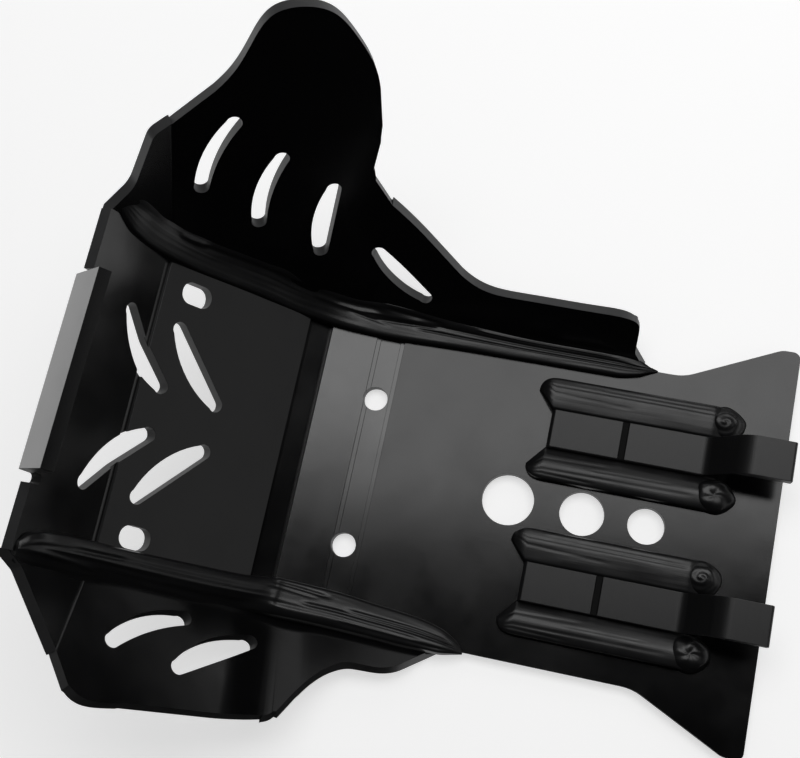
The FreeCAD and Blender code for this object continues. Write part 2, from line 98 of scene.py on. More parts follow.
sheet_face = new_material("rolled_polyethylene_sheet")
place = add_node(sheet_face, "ShaderNodeTexCoord").outputs["Object"]
# Broad waviness of the sheet, about 60 mm from crest to crest
wave = add_node(sheet_face, "ShaderNodeTexNoise", {"Scale": 16.0, "Detail": 2.0}, {"Vector": place})
# Fine rubbing marks, long in one direction
stretch = add_node(sheet_face, "ShaderNodeMapping",
                   {"Scale": (60.0, 900.0, 400.0), "Rotation": (0, 0, 0.2)}, {"Vector": place})
rub = add_node(sheet_face, "ShaderNodeTexNoise", {"Scale": 1.0, "Detail": 3.0, "Roughness": 0.6},
               {"Vector": stretch.outputs["Vector"]})
patchy = add_node(sheet_face, "ShaderNodeTexNoise",
                  {"Scale": 30.0, "Detail": 4.0, "Roughness": 0.55}, {"Vector": place})
gloss = add_node(sheet_face, "ShaderNodeMapRange",
                 {"From Min": 0.3, "From Max": 0.7, "To Min": 0.15, "To Max": 0.23},
                 {"Value": patchy.outputs["Fac"]})
broad = add_node(sheet_face, "ShaderNodeBump", {"Strength": 0.12, "Distance": 0.002},
                 {"Height": wave.outputs["Fac"]})
fine = add_node(sheet_face, "ShaderNodeBump", {"Strength": 0.05, "Distance": 0.0002},
                {"Height": rub.outputs["Fac"], "Normal": broad.outputs["Normal"]})
shader = add_node(sheet_face, "ShaderNodeBsdfPrincipled",
                  {"Base Color": paint("#0b0b0c"), "IOR": 1.54},
                  {"Roughness": gloss.outputs["Result"], "Normal": fine.outputs["Normal"]})
add_node(sheet_face, "ShaderNodeOutputMaterial", {}, {"Surface": shader.outputs["BSDF"]})


# Cut edge of the sheet: routed to shape, so it is dull and grey, with fine chatter lines
# from the tool, and a narrow scraped corner on both sides.

cut_edge = new_material("routed_polyethylene_edge")
place = add_node(cut_edge, "ShaderNodeTexCoord").outputs["Object"]
chatter = add_node(cut_edge, "ShaderNodeTexNoise", {"Scale": 700.0, "Detail": 3.0},
                   {"Vector": place})
tone = add_node(cut_edge, "ShaderNodeTexNoise", {"Scale": 60.0, "Detail": 3.0}, {"Vector": place})
colour = add_node(cut_edge, "ShaderNodeValToRGB", {}, {"Fac": tone.outputs["Fac"]})
colour.color_ramp.elements[0].color = paint("#2c2c2d")
colour.color_ramp.elements[1].color = paint("#3c3c3d")
grain = add_node(cut_edge, "ShaderNodeBump", {"Strength": 0.25, "Distance": 0.0003},
                 {"Height": chatter.outputs["Fac"]})
shader = add_node(cut_edge, "ShaderNodeBsdfPrincipled", {"Roughness": 0.5, "IOR": 1.54},
                  {"Base Color": colour.outputs["Color"], "Normal": grain.outputs["Normal"]})
add_node(cut_edge, "ShaderNodeOutputMaterial", {}, {"Surface": shader.outputs["BSDF"]})


# Main plate. One sheet, folded along three milled grooves, with a flared tail, and a lip
# turned back at the middle of its front edge. Its corners are scraped after cutting.

# A rim turns by more than this angle and a fold by less. Outlines reach further than this
# size in metres and slots don't.
RIM_ANGLE = math.radians(50)
OUTLINE_SIZE = 0.09


def rim_chains(mesh):
    """Chains of vertices along the sharp rims of a sheet, with whether each is a closed loop."""
    beside = {}
    for edge in mesh.edges:
        if edge.is_manifold and edge.calc_face_angle() > RIM_ANGLE:
            for a, b in (edge.verts, reversed(edge.verts)):
                beside.setdefault(a, []).append(b)
    chains, seen = [], set()
    starts = [v for v in beside if len(beside[v]) != 2] + list(beside)
    for start in starts:
        for step in beside[start]:
            if start in seen or step in seen:
                continue
            chain = [start, step]
            while len(beside[chain[-1]]) == 2 and chain[-1] != start:
                a, b = beside[chain[-1]]
                chain.append(b if a == chain[-2] else a)
            seen.update(v for v in chain if len(beside[v]) == 2)
            chains.append((chain, chain[-1] == start))
    return chains


def flat_areas(mesh):
    """Groups of faces that lie in one plane, each with the normal of that plane."""
    areas, seen = [], set()
    for face in mesh.faces:
        if face in seen:
            continue
        area, waiting = {face: None}, [face]
        while waiting:
            for edge in waiting.pop().edges:
                if edge.is_manifold and edge.calc_face_angle() < math.radians(0.3):
                    fresh = [f for f in edge.link_faces if f not in area]
                    area.update(dict.fromkeys(fresh))
                    waiting.extend(fresh)
        seen.update(area)
        areas.append((area, face.normal.copy()))
    return areas


def eased_line(spots, closed, softness):
    """Shift of each point of a line that rounds its corners without drawing it in."""
    at = np.concatenate([[0], np.cumsum(np.linalg.norm(np.diff(spots, axis=0), axis=1))])
    step = 0.001
    lap = np.arange(0, at[-1], step)
    track = np.stack([np.interp(lap, at, spots[:, k]) for k in range(3)], axis=1)
    reach = int(3 * softness / step)
    kernel = np.exp(-0.5 * (np.arange(-reach, reach + 1) * step / softness) ** 2)
    kernel /= kernel.sum()

    def blurred(line):
        how = {"mode": "wrap"} if closed else {"mode": "reflect", "reflect_type": "odd"}
        padded = np.pad(line, ((reach, reach), (0, 0)), **how)
        return np.stack([np.convolve(padded[:, k], kernel, "valid")[:len(line)]
                         for k in range(3)], axis=1)

    once = blurred(track)
    shift = 2 * once - blurred(once) - track
    return np.stack([np.interp(at, lap, shift[:, k]) for k in range(3)], axis=1), at


def fill_flat(mesh, rim, normal):
    """Fills the flat area inside its rim edges with triangles, leaving its holes open."""
    verts = list(dict.fromkeys(v for e in rim for v in e.verts))
    number = {v: i for i, v in enumerate(verts)}
    across = normal.orthogonal().normalized()
    up = normal.cross(across)
    flat = [Vector((v.co.dot(across), v.co.dot(up))) * 1000 for v in verts]
    pairs = [tuple(number[v] for v in e.verts) for e in rim]
    made = delaunay_2d_cdt(flat, pairs, [], 0, 0.00001)
    ends = np.array([(*flat[a], *flat[b]) for a, b in pairs])
    for corners in made[2]:
        if not all(made[3][c] for c in corners):
            continue
        a, b, c = [made[0][c] for c in corners]
        if abs((b - a).cross(c - a)) < 0.0002:
            continue
        x, y = (a + b + c) / 3
        crossed = (ends[:, 1] > y) != (ends[:, 3] > y)
        x0, y0, x1, y1 = ends[crossed].T
        if np.count_nonzero(x0 + (y - y0) / (y1 - y0) * (x1 - x0) > x) % 2:
            face = mesh.faces.new([verts[made[3][c][0]] for c in corners])
            face.normal_update()
            if face.normal.dot(normal) < 0:
                face.normal_flip()


def hand_routed(piece, softness, slot_bow):
    """Eases the corners of a sheet's outline and bows the straight side of its slots."""
    mesh = bmesh.new()
    mesh.from_mesh(piece.data)
    outline = {v for chain, _ in rim_chains(mesh)
               if np.ptp([v.co[:] for v in chain], axis=0).max() > OUTLINE_SIZE for v in chain}
    # Straight runs of the outline are cut about every 2.5 mm, on both faces of the sheet
    cuts = {}
    for face in mesh.faces:
        rims = [e for e in face.edges if e.is_manifold and e.calc_face_angle() > RIM_ANGLE]
        if len(face.verts) == 4 and len(rims) == 2 and outline.issuperset(face.verts) \
                and not set(rims[0].verts) & set(rims[1].verts):
            longest = max(e.calc_length() for e in rims)
            if longest > 0.004:
                cuts.update({e: min(30, round(longest / 0.0025)) for e in rims})
    straight_sides = []
    for chain, closed in rim_chains(mesh):
        spots = np.array([v.co[:] for v in chain])
        size = np.linalg.norm(np.ptp(spots, axis=0))
        steps = np.linalg.norm(np.diff(spots, axis=0), axis=1)
        if closed and 0.02 < size < OUTLINE_SIZE and steps.max() > 0.5 * size:
            k = steps.argmax()
            straight_sides.append((spots[k], spots[k + 1], spots[:-1].mean(axis=0)))
            cuts[mesh.edges.get(chain[k:k + 2])] = 11
    for count in sorted(set(cuts.values())):
        alike = [e for e, n in cuts.items() if n == count]
        bmesh.ops.subdivide_edges(mesh, edges=alike, cuts=count)
    mesh.normal_update()
    areas = flat_areas(mesh)
    moves = {}
    for chain, closed in rim_chains(mesh):
        spots = np.array([v.co[:] for v in chain])
        if softness and np.ptp(spots, axis=0).max() > OUTLINE_SIZE:
            shifts, at = eased_line(spots, closed, softness)
            # The shift fades out beside the main plate, towards 4 mm and at open ends
            for vert, shift, d in zip(chain, shifts, at):
                hold = max(abs(vert.co.y) - 0.118, vert.co.z - 0.06) / 0.012
                hold = min(hold, 1.0, (0.004 - np.linalg.norm(shift)) / 0.0015)
                if not closed:
                    hold = min(hold, d / 0.01, (at[-1] - d) / 0.01)
                moves[vert] = Vector(shift) * max(hold, 0)
    for a, b, middle in straight_sides:
        way = (b - a) / np.linalg.norm(b - a)
        inward = middle - a - way * np.dot(middle - a, way)
        inward /= np.linalg.norm(inward)
        for vert in mesh.verts:
            t = np.dot(vert.co - Vector(a), way) / np.linalg.norm(b - a)
            if 0.001 < t < 0.999 and (vert.co - Vector(a + (b - a) * t)).length < 1e-6:
                moves[vert] = Vector(inward) * slot_bow * 4 * t * (1 - t)
    moves = {vert: move for vert, move in moves.items() if move.length > 1e-6}
    # A vertex stays in the broad faces that it belongs to
    for vert, move in moves.items():
        sides = []
        for face in vert.link_faces:
            if face.calc_area() > 1e-4 and all(face.normal.angle(n) > 0.02 for n in sides):
                sides.append(face.normal.copy())
        if len(sides) == 1:
            moves[vert] = move - sides[0] * move.dot(sides[0])
        elif sides:
            fold = sides[0].cross(sides[1]).normalized()
            moves[vert] = fold * move.dot(fold)
    for vert, move in moves.items():
        vert.co += move
    for area, normal in areas:
        moved = any(v in moves for f in area for v in f.verts)
        if max(len(f.verts) for f in area) < 5 or not moved:
            continue
        around = dict.fromkeys(e for f in area for e in f.edges)
        inside = [e for e in around if all(f in area for f in e.link_faces)]
        rim = [e for e in around if e not in inside]
        bmesh.ops.delete(mesh, geom=list(area), context="FACES_ONLY")
        for edge in inside:
            mesh.edges.remove(edge)
        fill_flat(mesh, rim, normal)
    bmesh.ops.holes_fill(mesh, edges=[e for e in mesh.edges if e.is_boundary], sides=0)
    mesh.to_mesh(piece.data)
    mesh.free()


def scraped_copy(node, name, bevel, softness=0.0, slot_bow=0.0):
    """Copy of a CAD node with clean faces and narrow scraped corners."""
    bpy.ops.object.select_all(action="DESELECT")
    piece = bpy.data.objects.new(name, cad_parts[node].data.copy())
    scene.collection.objects.link(piece)
    piece.select_set(True)
    bpy.context.view_layer.objects.active = piece
    piece.data.materials.clear()
    bpy.ops.object.mode_set(mode="EDIT")
    bpy.ops.mesh.select_all(action="SELECT")
    bpy.ops.mesh.remove_doubles(threshold=0.000002)
    bpy.ops.mesh.dissolve_limited(angle_limit=math.radians(0.05))
    bpy.ops.object.mode_set(mode="OBJECT")
    if slot_bow:
        hand_routed(piece, softness, slot_bow)
    corner = piece.modifiers.new("corner", "BEVEL")
    corner.width = bevel
    corner.segments = 2
    corner.limit_method = "ANGLE"
    corner.angle_limit = math.radians(38)
    corner.use_clamp_overlap = True
    bpy.ops.object.modifier_apply(modifier="corner")
    bpy.ops.object.shade_smooth_by_angle(angle=math.radians(32))
    # A fold between two broad faces is a sharp line, however small its angle
    mesh = bmesh.new()
    mesh.from_mesh(piece.data)
    for edge in mesh.edges:
        if edge.is_manifold and edge.calc_face_angle() > math.radians(6) \
                and min(face.calc_area() for face in edge.link_faces) > 0.0002:
            edge.smooth = False
    mesh.to_mesh(piece.data)
    mesh.free()
    even = piece.modifiers.new("even", "WEIGHTED_NORMAL")
    even.keep_sharp = True
    bpy.ops.object.modifier_apply(modifier="even")
    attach(piece, "root")
    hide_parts(node)
    return piece


# Copy of the sheet finish with a stronger reflection: a painted sheen that makes the band between
# the first two folds brighter, standing in for the light on it
band_painted_sheen = sheet_face.copy()
band_painted_sheen.name = "polyethylene_band_painted_sheen"
band_painted_sheen.node_tree.nodes["Principled BSDF"].inputs["IOR"].default_value = 1.72


def finish_faces(piece, normals_at):
    """Gives the sheet's own faces one finish and its cut edges the other."""
    piece.data.materials.append(sheet_face)
    piece.data.materials.append(cut_edge)
    piece.data.materials.append(band_painted_sheen)
    for face in piece.data.polygons:
        flat = max(abs(face.normal.dot(n)) for n in normals_at(face.center))
        face.material_index = 0 if flat > 0.8 else 1


def rising(angle):
    a = math.radians(angle)
    return Vector((-math.sin(a), 0, math.cos(a)))


main_sheet = scraped_copy("main_plate", "main_sheet", 0.0005)


def plate_normals(point):
    if point.z > 0.152 and point.x > 0.13 and abs(point.y) < 0.0575:
        return [rising(68), rising(134)]
    if point.x < 0.001:
        return [rising(0), rising(12)]
    if point.x < 0.046:
        return [rising(12), rising(0), rising(46)]
    if point.x < 0.13:
        return [rising(46), rising(68)]
    return [rising(68), rising(46)]


finish_faces(main_sheet, plate_normals)
# Upward faces of the sheet at the band between the first two folds get the painted sheen
for face in main_sheet.data.polygons:
    if face.material_index == 0 and face.normal.z > 0.8 and -0.0105 < face.center.x < 0.0455:
        face.material_index = 2


# Wings. Each is bent from one sheet into a rear strip, a main part and a front facet,
# and stands on the side edge of the main plate. Curved slots are routed through it.

def flared(angle, flare, side):
    f = math.radians(flare)
    return rising(angle) * -math.sin(f) + Vector((0, side, 0)) * math.cos(f)


right_sheet = scraped_copy("right_wing", "right_wing_sheet", 0.0005, softness=0.012, slot_bow=0.003)
finish_faces(right_sheet, lambda point: [flared(0, 36, -1), flared(46, 36, -1), flared(68, 49, -1),
                                         flared(22, 36, -1)])
left_sheet = scraped_copy("left_wing", "left_wing_sheet", 0.0005, softness=0.012, slot_bow=0.003)
finish_faces(left_sheet, lambda point: [flared(0, 60, 1), flared(46, 60, 1), flared(68, 68.8, 1),
                                        flared(22, 60, 1)])


# Hooks. Short strips of the same sheet, heated and bent up at the rear, whose upper faces
# were planed, so that they are duller than the rest.

planed_face = new_material("planed_polyethylene")
place = add_node(planed_face, "ShaderNodeTexCoord").outputs["Object"]
stretch = add_node(planed_face, "ShaderNodeMapping", {"Scale": (1500.0, 30.0, 30.0)},
                   {"Vector": place})
lines = add_node(planed_face, "ShaderNodeTexNoise", {"Scale": 1.0, "Detail": 2.0},
                 {"Vector": stretch.outputs["Vector"]})
tooled = add_node(planed_face, "ShaderNodeBump", {"Strength": 0.3, "Distance": 0.0002},
                  {"Height": lines.outputs["Fac"]})
shader = add_node(planed_face, "ShaderNodeBsdfPrincipled",
                  {"Base Color": paint("#151516"), "Roughness": 0.42, "IOR": 1.54},
                  {"Normal": tooled.outputs["Normal"]})
add_node(planed_face, "ShaderNodeOutputMaterial", {}, {"Surface": shader.outputs["BSDF"]})

# Bottom of the saw cut across each strip: darker, duller plastic with little reflection, as painted
# shade in the groove
groove_painted_shade = new_material("polyethylene_groove_painted_shade")
place = add_node(groove_painted_shade, "ShaderNodeTexCoord").outputs["Object"]
torn = add_node(groove_painted_shade, "ShaderNodeTexNoise", {"Scale": 900.0, "Detail": 3.0},
                {"Vector": place})
rough = add_node(groove_painted_shade, "ShaderNodeBump", {"Strength": 0.6, "Distance": 0.0004},
                 {"Height": torn.outputs["Fac"]})
shader = add_node(groove_painted_shade, "ShaderNodeBsdfPrincipled",
                  {"Base Color": paint("#0d0d0d"), "Roughness": 0.75, "IOR": 1.3},
                  {"Normal": rough.outputs["Normal"]})
add_node(groove_painted_shade, "ShaderNodeOutputMaterial", {}, {"Surface": shader.outputs["BSDF"]})

for side in ("right", "left"):
    strip = scraped_copy(side + "_hook", side + "_hook_strip", 0.0006)
    strip.data.materials.append(planed_face)
    strip.data.materials.append(cut_edge)
    strip.data.materials.append(groove_painted_shade)
    # The heated bend sits a little further back than a sharp fold line would give
    for vert in strip.data.vertices:
        front = min(1.0, max(0.0, (-0.190 - vert.co.x) / 0.017))
        back = min(1.0, max(0.0, (vert.co.x + 0.262) / 0.03))
        vert.co.x -= 0.008 * front * front * (3 - 2 * front) * back * back * (3 - 2 * back)
    for face in strip.data.polygons:
        face.material_index = 1 if abs(face.normal.y) > 0.8 else 0
        # Faces in the groove, apart from the strip's sides, get the painted shade
        in_groove = -0.1695 < face.center.x < -0.1635 and face.center.z < 0.0158
        if in_groove and abs(face.normal.y) < 0.5:
            face.material_index = 2


# Weld beads along the wings. Thick rods of molten polyethylene, pressed into each corner by
# hand from the rear to the front. The tool leaves flat faces, creases and drawn streaks.

pressed_weld = new_material("pressed_weld_plastic")
along = add_node(pressed_weld, "ShaderNodeUVMap", {"uv_map": "along_bead"}).outputs["UV"]
# Drawn streaks, about 1 mm wide and 60 mm long
stretch = add_node(pressed_weld, "ShaderNodeMapping", {"Scale": (1000.0, 16.0, 1.0)},
                   {"Vector": along})
streak = add_node(pressed_weld, "ShaderNodeTexNoise",
                  {"Scale": 1.0, "Detail": 3.0, "Roughness": 0.55},
                  {"Vector": stretch.outputs["Vector"]})
# Slight unevenness where the tool stopped and went on, some 20 mm apart
place = add_node(pressed_weld, "ShaderNodeTexCoord").outputs["Object"]
stop = add_node(pressed_weld, "ShaderNodeTexNoise", {"Scale": 50.0, "Detail": 3.0},
                {"Vector": place})
gloss = add_node(pressed_weld, "ShaderNodeMapRange",
                 {"From Min": 0.3, "From Max": 0.7, "To Min": 0.28, "To Max": 0.42},
                 {"Value": stop.outputs["Fac"]})
drawn = add_node(pressed_weld, "ShaderNodeBump", {"Strength": 0.35, "Distance": 0.0001},
                 {"Height": streak.outputs["Fac"]})
shader = add_node(pressed_weld, "ShaderNodeBsdfPrincipled",
                  {"Base Color": paint("#171718"), "IOR": 1.54},
                  {"Roughness": gloss.outputs["Result"], "Normal": drawn.outputs["Normal"]})
add_node(pressed_weld, "ShaderNodeOutputMaterial", {}, {"Surface": shader.outputs["BSDF"]})


def smooth_track(places, values, at):
    """Smooth curve through values at rising places, which never overshoots them."""
    x, y, at = np.asarray(places, float), np.asarray(values, float), np.asarray(at, float)
    y = y.reshape(len(x), -1)
    step = np.diff(x)[:, None]
    rise = np.diff(y, axis=0) / step
    before, after = rise[:-1], rise[1:]
    both = np.where(before * after > 0, before + after, 1.0)
    inner = np.where(before * after > 0, 2 * before * after / both, 0.0)
    slope = np.vstack([rise[:1], inner, rise[-1:]])
    k = np.clip(np.searchsorted(x, at) - 1, 0, len(x) - 2)
    t = ((at - x[k]) / step[k, 0])[:, None]
    return ((1 + 2 * t) * (1 - t) ** 2 * y[k] + t * (1 - t) ** 2 * step[k] * slope[k]
            + t * t * (3 - 2 * t) * y[k + 1] + t * t * (t - 1) * step[k] * slope[k + 1])


def rolled_bead(name, rings, size):
    """Bead from closed rings of points, shut at both ends; size is its length and girth."""
    caps = [np.repeat(rings[k].mean(axis=0)[None], rings.shape[1], axis=0)[None] for k in (0, -1)]
    rings = np.vstack([caps[0], rings, caps[1]])
    count, around = rings.shape[0] - 1, rings.shape[1] - 1
    bpy.ops.object.select_all(action="DESELECT")
    bpy.ops.mesh.primitive_grid_add(x_subdivisions=around, y_subdivisions=count, size=1)
    bead = bpy.context.object
    bead.name = name
    bead.data.vertices.foreach_set("co", rings.reshape(-1))
    uv = bead.data.uv_layers.active
    uv.name = "along_bead"
    spots = np.empty(len(uv.data) * 2)
    uv.data.foreach_get("uv", spots)
    uv.data.foreach_set("uv", (spots.reshape(-1, 2) * (size[1], size[0])).reshape(-1))
    bpy.ops.object.mode_set(mode="EDIT")
    bpy.ops.mesh.select_all(action="SELECT")
    bpy.ops.mesh.remove_doubles(threshold=0.000002)
    bpy.ops.mesh.normals_make_consistent(inside=False)
    bpy.ops.object.mode_set(mode="OBJECT")
    bpy.ops.object.shade_smooth_by_angle(angle=math.radians(60))
    bead.data.materials.append(pressed_weld)
    return bead


def weld_texture(length, across, marks, drag, seed):
    """Height of creases, ridges and drawn streaks on a bead, in millimetres.

    A mark has its two ends, each as length and share of the width, its width and height.
    Drag is the height of the streaks.
    """
    height = np.zeros(length.shape)
    for (s0, a0), (s1, a1), wide, tall in marks:
        share = np.clip((length - s0) / (s1 - s0), 0, 1)
        centre = a0 + (a1 - a0) * share
        fade = np.clip(np.minimum(length - s0, s1 - length) / 8 + 0.5, 0, 1)
        height += tall * fade * np.exp(-(((across - centre) * 20) / wide) ** 2)
    for i in range(length.shape[0]):
        for j in range(length.shape[1]):
            s, a = length[i, j], across[i, j] * 20
            height[i, j] += drag * noise.noise((s / 34, a / 2.2, seed))
            height[i, j] += 0.18 * noise.noise((s / 30, a / 10, seed + 5))
    return height


def raised(points, height):
    """Moves the points of each ring out by the height, square to the ring's own line."""
    along_ring = np.gradient(points, axis=1)
    along_bead = np.gradient(points, axis=0)
    out = np.cross(along_ring, along_bead)
    out /= np.maximum(np.linalg.norm(out, axis=2, keepdims=True), 1e-9)
    out *= np.sign(out[..., 2:3] + 1e-9)
    return points + out * height[..., None]


# Each fold's x and z and its place along the corner, in millimetres, and the slope in
# degrees behind it and in front of it
FOLDS = {"A": (0.0, 8.0, 0.0), "B": (45.5, 17.7, 46.5), "C": (129.2, 104.4, 167.0)}
SLOPES = {"A": (0, 12), "B": (12, 46), "C": (46, 68)}
# Half of the plate's width between the corners, and length of bead from ring to ring
HALF_WIDTH, RING_STEP = 102, 1.25


def corner_place(fold, place):
    """Point in x and z on the corner between the plate and a wing."""
    x, z, start = FOLDS[fold]
    angle = math.radians(SLOPES[fold][1 if place > 0 else 0])
    return np.array([x + place * math.cos(angle), 0, z + place * math.sin(angle)]), start + place


def wing_bead(name, side, wing_end, stations, profiles, marks, drag, seed):
    """Bead along the corner of one wing, which itself ends at wing_end.

    It has one profile behind the first fold and another in front of it.
    """
    places, tops, feet = [], [], []
    rear, ramp = [smooth_track(np.linspace(0, 1, len(p)), p, np.linspace(0, 1, 60))
                  for p in profiles]
    for fold, place, turn, inner, out, up, middle in stations:
        spot, start = corner_place(fold, place)
        above = np.array(rising(turn))
        width = out - inner
        row = [(inner + width * a, middle * b + (up - middle) * c)
               for a, b, c in (rear if fold == "A" else ramp)]
        row += [(out + 2.5, up - 1.2) if start > wing_end else (out, up - 0.3)]
        tops.append([spot + above * h + (0, side * (HALF_WIDTH + o), 0) for o, h in row])
        feet.append((inner, out, turn))
        places.append(start)
    at = np.linspace(places[0], places[-1], int((places[-1] - places[0]) / RING_STEP))
    flat = smooth_track(places, np.array(tops).reshape(len(places), -1), at)
    top = flat.reshape(len(at), -1, 3)
    length = np.repeat(at[:, None], top.shape[1] - 1, axis=1)
    across = np.repeat(rear[None, :, 0], len(at), axis=0)
    fade = np.clip(np.minimum(at - at[0], at[-1] - at) / 10, 0, 1)[:, None]
    height = weld_texture(length, across, marks, drag, seed) * fade
    height[:, :3] *= 0.3
    top[:, :-1] = raised(top[:, :-1], height)
    inner, out, turn = smooth_track(places, feet, at).T
    rings = []
    for i, s in enumerate(at):
        fold = "C" if s > FOLDS["C"][2] else "B" if s > FOLDS["B"][2] else "A"
        spot, _ = corner_place(fold, s - FOLDS[fold][2])
        below = -np.array(rising(turn[i]))
        deep = spot + below * 1.6 + (0, side * (HALF_WIDTH + (1 if s > wing_end else -1)), 0)
        foot = spot + below * 2.2 + (0, side * (HALF_WIDTH + inner[i]), 0)
        rings.append(np.vstack([foot, top[i], deep, (deep + foot) / 2, foot]))
    bead = rolled_bead(name, np.array(rings) / 1000, (len(at) * RING_STEP / 1000, 0.06))
    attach(bead, "root")
    return bead


# Fold, distance from it, tilt in degrees, inner side, outer side, height at the wing and
# height of the middle
RIGHT_STATIONS = [
    ("A", -181, 0, -0.5, 0.4, 0.8, 1.2), ("A", -177, 0, -2.2, 1.0, 3.0, 3.2),
    ("A", -168, 0, -6.2, 2.0, 5.4, 5.2), ("A", -154, 0, -8.7, 4.4, 6.2, 5.4),
    ("A", -100, 0, -8.9, 4.8, 6.7, 5.6), ("A", -55, 0, -9.2, 6.5, 9.0, 5.9),
    ("A", -16, 0, -10.1, 9.3, 12.8, 6.4), ("A", 22, 14, -10.6, 10.8, 12.6, 7.0),
    ("B", 13.5, 41, -9.0, 10.2, 14.0, 6.8), ("B", 49.5, 46, -8.8, 10.6, 14.6, 6.8),
    ("C", -17, 50, -9.4, 8.6, 11.9, 6.8), ("C", 17, 65, -8.8, 9.6, 8.4, 6.6),
    ("C", 36, 68, -6.6, 11.1, 9.6, 6.2), ("C", 45, 68, -2.6, 11.2, 9.7, 5.6),
    ("C", 52, 68, 2.0, 10.6, 8.6, 4.4), ("C", 56, 68, 5.4, 9.4, 6.6, 2.6)]
# Share of the width, share of the middle height, and share of the rise to the wing
RIGHT_PROFILE = [(0, 0.05, 0), (0.02, 0.62, 0), (0.06, 0.82, 0), (0.16, 0.93, 0), (0.3, 0.97, 0),
                 (0.45, 1.0, 0), (0.58, 0.98, 0.06), (0.68, 0.96, 0.2), (0.8, 1.0, 0.5),
                 (0.9, 1.0, 0.8), (1, 1, 1)]
RIGHT_RAMP_PROFILE = [(0, 0.05, 0), (0.02, 0.32, 0), (0.06, 0.46, 0), (0.16, 0.6, 0),
                      (0.3, 0.75, 0), (0.45, 0.89, 0.02), (0.58, 0.98, 0.08), (0.68, 1.0, 0.2),
                      (0.8, 1.0, 0.46), (0.9, 1.0, 0.76), (1, 1, 1)]
RIGHT_MARKS = [((-176, 0.5), (-20, 0.47), 0.9, -0.7), ((-168, 0.69), (-30, 0.7), 1.1, -0.8),
               ((-150, 0.9), (-62, 0.9), 0.8, 0.5), ((-30, 0.62), (12, 0.5), 1.0, -0.9),
               ((-22, 0.72), (20, 0.66), 1.3, 0.9), ((-34, 0.8), (4, 0.86), 1.2, -0.9),
               ((2, 0.4), (30, 0.56), 0.9, -0.6), ((10, 0.78), (44, 0.74), 1.4, -0.9),
               ((18, 0.62), (60, 0.7), 1.6, 0.8), ((150, 0.86), (168, 0.8), 1.6, 1.3),
               ((60, 0.78), (150, 0.8), 1.5, -0.5)]
bead = wing_bead("right_wing_weld", -1, -172, RIGHT_STATIONS,
                 (RIGHT_PROFILE, RIGHT_RAMP_PROFILE), RIGHT_MARKS, 0.08, 1.0)
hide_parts("right_wing_bead")

LEFT_STATIONS = [
    ("A", -90, 0, -1.0, 1.4, 0.6, 1.0), ("A", -85, 0, -6.0, 2.6, 1.0, 3.6),
    ("A", -74, 0, -12.0, 4.6, 2.4, 7.4), ("A", -54, 0, -16.4, 4.8, 2.8, 9.8),
    ("A", -28, 0, -18.8, 3.8, 2.2, 10.3), ("A", 2, 5, -21.6, 3.4, 0.4, 10.3),
    ("A", 32, 22, -22.2, 3.6, -0.6, 9.8), ("B", 15.5, 42, -19.0, 3.6, 1.4, 10.2),
    ("B", 49.5, 46, -17.8, 4.8, 2.8, 10.4), ("C", -17, 50, -16.5, 4.7, 2.7, 10.2),
    ("C", 23, 66, -16.2, 5.6, 2.2, 9.6), ("C", 45, 68, -14.6, 5.4, 2.1, 8.0),
    ("C", 54, 68, -11.4, 4.6, 1.8, 5.4), ("C", 59.5, 68, -6.0, 3.0, 1.0, 2.0)]
LEFT_PROFILE = [(0, 0.04, 0), (0.02, 0.36, 0), (0.06, 0.5, 0), (0.14, 0.6, 0), (0.24, 0.69, 0),
                (0.36, 0.79, 0), (0.48, 0.88, 0), (0.6, 0.95, 0), (0.74, 1.0, 0.03),
                (0.9, 1.0, 0.2), (1, 1, 1)]
LEFT_RAMP_PROFILE = [(0, 0.04, 0), (0.02, 0.5, 0), (0.06, 0.72, 0), (0.14, 0.83, 0),
                     (0.24, 0.91, 0), (0.36, 0.97, 0), (0.48, 1.0, 0), (0.6, 0.98, 0.2),
                     (0.74, 0.97, 0.5), (0.9, 1.0, 0.8), (1, 1, 1)]
LEFT_MARKS = [((-84, 0.5), (16, 0.49), 1.0, -1.0), ((-80, 0.36), (-14, 0.4), 0.9, -0.8),
              ((-60, 0.66), (40, 0.62), 1.2, -0.5), ((-78, 0.78), (-10, 0.8), 1.2, -0.5),
              ((2, 0.2), (40, 0.12), 1.0, -0.9), ((10, 0.3), (42, 0.22), 0.9, -0.7),
              ((36, 0.05), (38.5, 0.5), 6.0, 0.7), ((44, 0.34), (190, 0.3), 1.4, -0.6),
              ((120, 0.62), (226, 0.5), 1.6, -0.8), ((150, 0.3), (226, 0.42), 1.4, -0.8),
              ((170, 0.74), (226, 0.55), 1.2, 0.7), ((60, 0.66), (150, 0.64), 1.6, 0.5)]
bead = wing_bead("left_wing_weld", 1, -73, LEFT_STATIONS,
                 (LEFT_PROFILE, LEFT_RAMP_PROFILE), LEFT_MARKS, 0.14, 3.0)
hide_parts("left_wing_bead")


# Weld beads along the hooks. One on each side of each strip, laid from a rounded nose
# before the strip to a blob at its rear, where the tool was twisted and pulled away.

HOOK_REAR, HOOK_FRONT, HOOK_NOSE, HOOK_HALF_WIDTH, HOOK_MIDDLE = -227.5, -118.0, 11.0, 12.5, 50.5
# Outer side of a bead, middle of its nose, and radius of its blob
BEAD_WIDTH, NOSE_OUT, BLOB_RADIUS = 22.1, 13.0, 11.6
